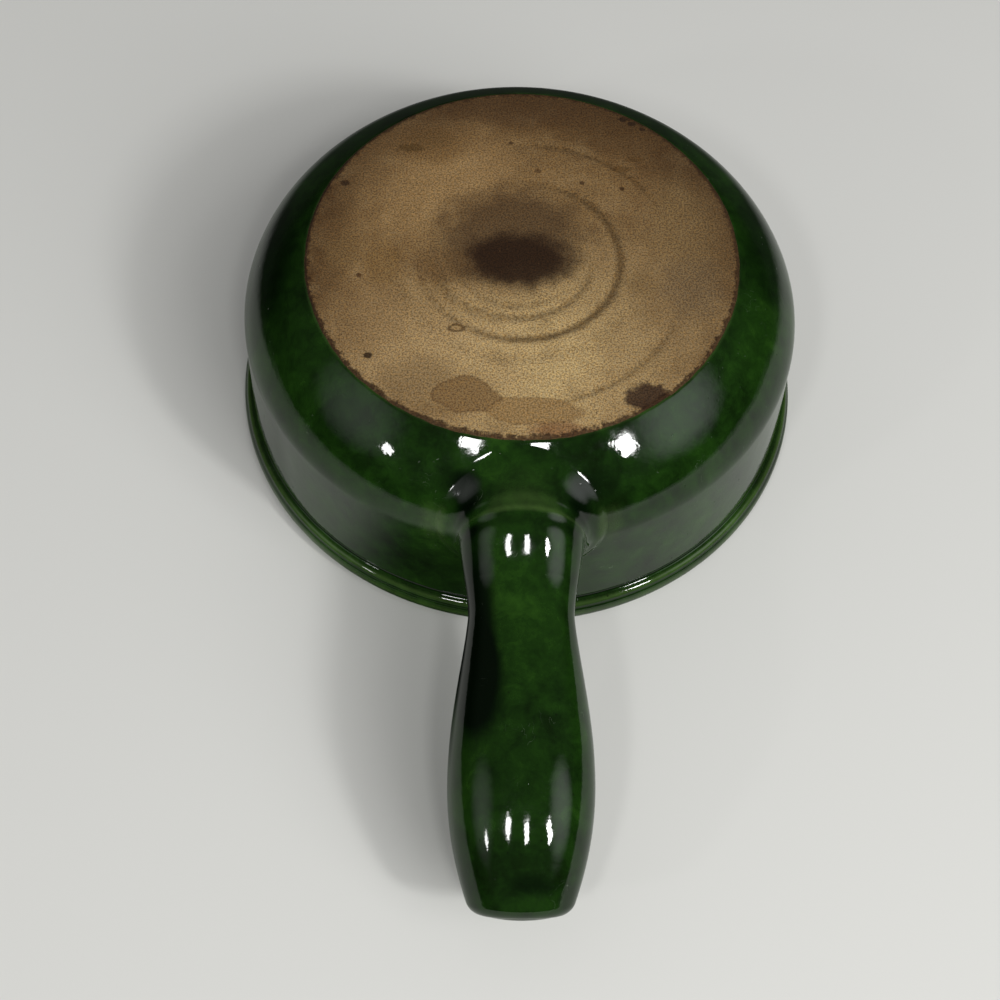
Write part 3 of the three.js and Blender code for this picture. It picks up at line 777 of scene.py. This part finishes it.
def pale_board(name, code, dim_code=None):
    """Matt paint seen from the front alone, which fades into the pale room and may carry painted shade in
    places.
    """
    material = new_material(name)
    tree = material.node_tree
    place = add_node(tree, "TexCoord").outputs["Object"]
    away = add_node(tree, "VectorMath", {"operation": "LENGTH", 0: place}).outputs["Value"]
    faded = add_node(tree, "MapRange", {**SMOOTH, 0: away, 1: BOARD_FADE[0], 2: BOARD_FADE[1]}).outputs[0]
    back = add_node(tree, "NewGeometry").outputs["Backfacing"]
    gone = add_node(tree, "Math", {"operation": "MAXIMUM", 0: back, 1: faded}).outputs[0]
    paint = code
    if dim_code:
        # Darker towards the back, and a painted shadow of the pot and handle on the board in front of the rim
        y = add_node(tree, "SeparateXYZ", {0: place}).outputs["Y"]
        far = add_node(tree, "MapRange", {**SMOOTH, 0: y, 1: DIM_FROM[0], 2: DIM_FROM[1]}).outputs[0]
        off = {"operation": "DISTANCE", 0: place, 1: SHADE_MIDDLE}
        off = add_node(tree, "VectorMath", off).outputs["Value"]
        shaded = {**SMOOTH, 0: off, 1: SHADE_REACH[0], 2: SHADE_REACH[1]}
        shaded = add_node(tree, "MapRange", shaded).outputs[0]
        dim = add_node(tree, "Math", {"operation": "MAXIMUM", 0: far, 1: shaded}).outputs[0]
        paint = add_node(tree, "Mix", {**COLOURS, 0: dim, 6: code, 7: dim_code}).outputs[2]
    board = add_node(tree, "BsdfDiffuse", {"Color": paint}).outputs[0]
    clear = add_node(tree, "BsdfTransparent").outputs[0]
    surface = add_node(tree, "MixShader", {0: gone, 1: board, 2: clear}).outputs[0]
    add_node(tree, "OutputMaterial", {"Surface": surface})
    return material


def board(name, height, faces_up, hole, seen, mirrored, material):
    """A wide ring-shaped board at a height, facing up or down, which takes shadows but hides no lamp."""
    around = 96
    angle = np.arange(around) / around * 2 * math.pi
    points = [(r * math.sin(a), -r * math.cos(a), height) for r in (hole, BOARD_FADE[1]) for a in angle]
    faces = []
    for j in range(around):
        k = (j + 1) % around
        face = (j, around + j, around + k, k)
        faces.append(face if faces_up else face[::-1])
    mesh = bpy.data.meshes.new(name)
    mesh.from_pydata(points, [], faces)
    mesh.materials.append(material)
    piece = bpy.data.objects.new(name, mesh)
    piece.visible_shadow = False
    piece.visible_camera = seen
    piece.visible_glossy = mirrored
    piece.visible_diffuse = False
    bpy.context.scene.collection.objects.link(piece)


def lamp(name, place, size, level, mirrored=True):
    """Flat lamp aimed at the pot, as strong as lights a white card facing it to this level."""
    light = bpy.data.lights.new(name, "AREA")
    light.shape = "RECTANGLE"
    light.size, light.size_y = size
    away = Vector(place) - Vector(LAMPS_AIM)
    light.energy = level * math.pi**2 * away.length_squared
    fixture = bpy.data.objects.new(name, light)
    fixture.location = place
    fixture.rotation_euler = away.to_track_quat("Z", "Y").to_euler()
    fixture.visible_glossy = mirrored
    bpy.context.scene.collection.objects.link(fixture)


def pale_room():
    """Pale to the camera and above; below it is dim, so that the glaze mirrors a darker room there."""
    world = bpy.data.worlds.new("pale_room")
    bpy.context.scene.world = world
    world.use_nodes = True
    tree = world.node_tree
    tree.nodes.clear()
    path = add_node(tree, "LightPath")
    way = add_node(tree, "TexCoord").outputs["Generated"]
    x, y, rise = add_node(tree, "SeparateXYZ", {0: way}).outputs
    dim = tint(tree, "#343632", "#10110f", rise, -0.5, -0.1)
    # A little paler to the sides of the camera, and nothing pale behind the pot
    side = add_node(tree, "Math", {"operation": "ABSOLUTE", 0: x}).outputs[0]
    glow = 1.0
    for value, low, high in ((side, 0.6, 0.8), (y, -0.05, -0.35), (rise, -0.3, -0.55)):
        share = add_node(tree, "MapRange", {**SMOOTH, 0: value, 1: low, 2: high}).outputs[0]
        glow = add_node(tree, "Math", {**TIMES, 0: share, 1: glow}).outputs[0]
    dim = add_node(tree, "Mix", {**COLOURS, 0: glow, 6: dim, 7: "#8a8d87"}).outputs[2]
    level = tint(tree, "#8e918b", "#1b1c1a", y, -0.1, 0.35)
    mirrored = tint(tree, dim, level, rise, 0.0, 0.05)
    is_glossy = path.outputs["Is Glossy Ray"]
    seen = add_node(tree, "Mix", {**COLOURS, 0: is_glossy, 6: "#8a8a8a", 7: mirrored}).outputs[2]
    is_camera = path.outputs["Is Camera Ray"]
    seen = add_node(tree, "Mix", {**COLOURS, 0: is_camera, 6: seen, 7: "#e4e3df"}).outputs[2]
    room = add_node(tree, "Background", {"Color": seen, "Strength": 1.0}).outputs[0]
    # Two soft lights to the sides, which leave a haze in the glaze
    haze = 0.0
    for towards, strength in SOFT_LIGHTS:
        near = {"operation": "DOT_PRODUCT", 0: way, 1: towards}
        near = add_node(tree, "VectorMath", near).outputs["Value"]
        share = add_node(tree, "MapRange", {**SMOOTH, 0: near, 1: SOFT_EDGE, 2: 1.0, 4: strength}).outputs[0]
        haze = add_node(tree, "Math", {"operation": "ADD", 0: share, 1: haze}).outputs[0]
    haze = add_node(tree, "Math", {**TIMES, 0: haze, 1: is_glossy}).outputs[0]
    bright = add_node(tree, "Background", {"Color": "#eef2ef", "Strength": SOFT_LEVEL}).outputs[0]
    surface = add_node(tree, "MixShader", {0: haze, 1: room, 2: bright}).outputs[0]
    add_node(tree, "OutputWorld", {"Surface": surface})


make_camera()

glaze = green_glaze()
clay = bare_clay()

bowl_points = bowl_rows()
heights = bowl_points[..., 2]
bands = sum(amount * hump(heights, at, width) for at, width, amount in GLAZE_BANDS)
is_outside = np.arange(len(bowl_points))[:, None] < len(bowl_points) - INNER_ROWS
# The bowl's glaze depth mark also holds painted dark reflections on the shoulder
bowl = skin(
    "glazed_bowl",
    bowl_points,
    closed_at="end",
    marks={"glaze_depth_and_painted_light": np.where(is_outside, bands + pools_and_painted_light(bowl_points), 0.0)},
)
base_points, base_marks = base_rows()
base = skin("bare_base", base_points, closed_at="start", marks={"turning": base_marks})

# The collar and the handle share their normals, and at its run-out the collar takes the wall's
collar_points = collar_rows()
handle_points = handle_rows()
whole_normals = grid_normals(np.concatenate([collar_points, handle_points[1:]]))
count = len(collar_points)
edge = np.clip(1 - np.arange(count) / RUN_OUT_ROWS, 0, 1)[:, None, None] ** 2
collar_normals = mix(whole_normals[:count], wall_normal(collar_points), edge)
collar_normals /= np.linalg.norm(collar_normals, axis=-1, keepdims=True)
# The glaze has run thin along the ridge and the wings, and lies a little deeper in the dip. The broad pale
# band before the ridge is thin glaze with painted sheen, and the pooled mark also holds painted dark
# reflections
share = np.arange(count)[:, None] / (count - 1)
under = np.clip(-UPWARD, 0, 1)
thin_lines_and_sheen = 0.5 * hump(share, 0.5, 0.025) + 0.45 * hump(share, 0.44, 0.07) * under
thin_lines_and_sheen = thin_lines_and_sheen + 0.3 * hump(share, 0.14, 0.1) * np.abs(ACROSS) ** 4
pooled_and_painted_dark = 0.3 * hump(share, 0.57, 0.05) * under + pools_and_painted_light(collar_points) * (1 - 0.85 * hump(share, 0.5, 0.06))
collar = skin(
    "luting_collar_glazed",
    collar_points,
    normals=collar_normals,
    marks={"glaze_depth_and_painted_light": pooled_and_painted_dark - 0.6 * thin_lines_and_sheen},
)
# The handle's glaze depth mark also holds painted dark reflections
handle = skin(
    "glazed_handle",
    handle_points,
    closed_at="end",
    normals=whole_normals[count - 1 :],
    marks={"glaze_depth_and_painted_light": pools_and_painted_light(handle_points)},
)

for piece, node, finish, material in (
    (bowl, "bowl", "green_glaze", glaze),
    (base, "bowl", "bare_clay", clay),
    (collar, "luting_collar", "green_glaze", glaze),
    (handle, "handle", "green_glaze", glaze),
):
    piece.data.materials.append(material)
    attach(piece, "root")
    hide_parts(node)

# In the photograph the pot stands on its rim. So the floor is a board at the rim's height that is seen from
# below, with a darker copy beside it, in painted shade and with a painted shadow, for the glaze to mirror,
# and another under the base is seen from above
floor_paint = pale_board("matt_white_board", "#d6d6d2")
mirrored_paint = pale_board("mirrored_table_with_painted_shade", "#b6b8b2", "#30322f")
rim_height, rim_hole = (BOWL_HEIGHT + BOARD_GAP) * MM, BOARD_HOLE * MM
board("board_at_rim", rim_height, False, rim_hole, True, False, floor_paint)
board("board_in_the_glaze", rim_height + BOARD_GAP * MM, False, rim_hole, False, True, mirrored_paint)
board("board_at_base", -BOARD_GAP * MM, True, 1 * MM, True, False, floor_paint)

lamp("lamp_right", (-1.12, -1.1, -1.2), (0.17, 0.28), 0.26)
lamp("lamp_right_soft", (-1.02, -1.2, -1.2), (1.3, 1.3), 0.6, False)
lamp("lamp_middle", (-0.19, -1.04, -1.22), (0.15, 0.2), 0.12)
lamp("lamp_left", (0.43, -1.0, -1.22), (0.15, 0.19), 0.12)
lamp("lamp_far_left", (1.15, -0.93, -0.78), (0.12, 0.12), 0.04)
lamp("lamp_overhead", (-0.25, -0.2, 1.8), (0.7, 0.7), 0.5, False)
lamp("lamp_side", (1.3, -0.9, 0.8), (0.7, 0.7), 0.25, False)
lamp("lamp_back", (-0.9, 1.6, 0.9), (0.7, 0.7), 0.25, False)
pale_room()

bpy.context.scene.view_settings.view_transform = "Standard"
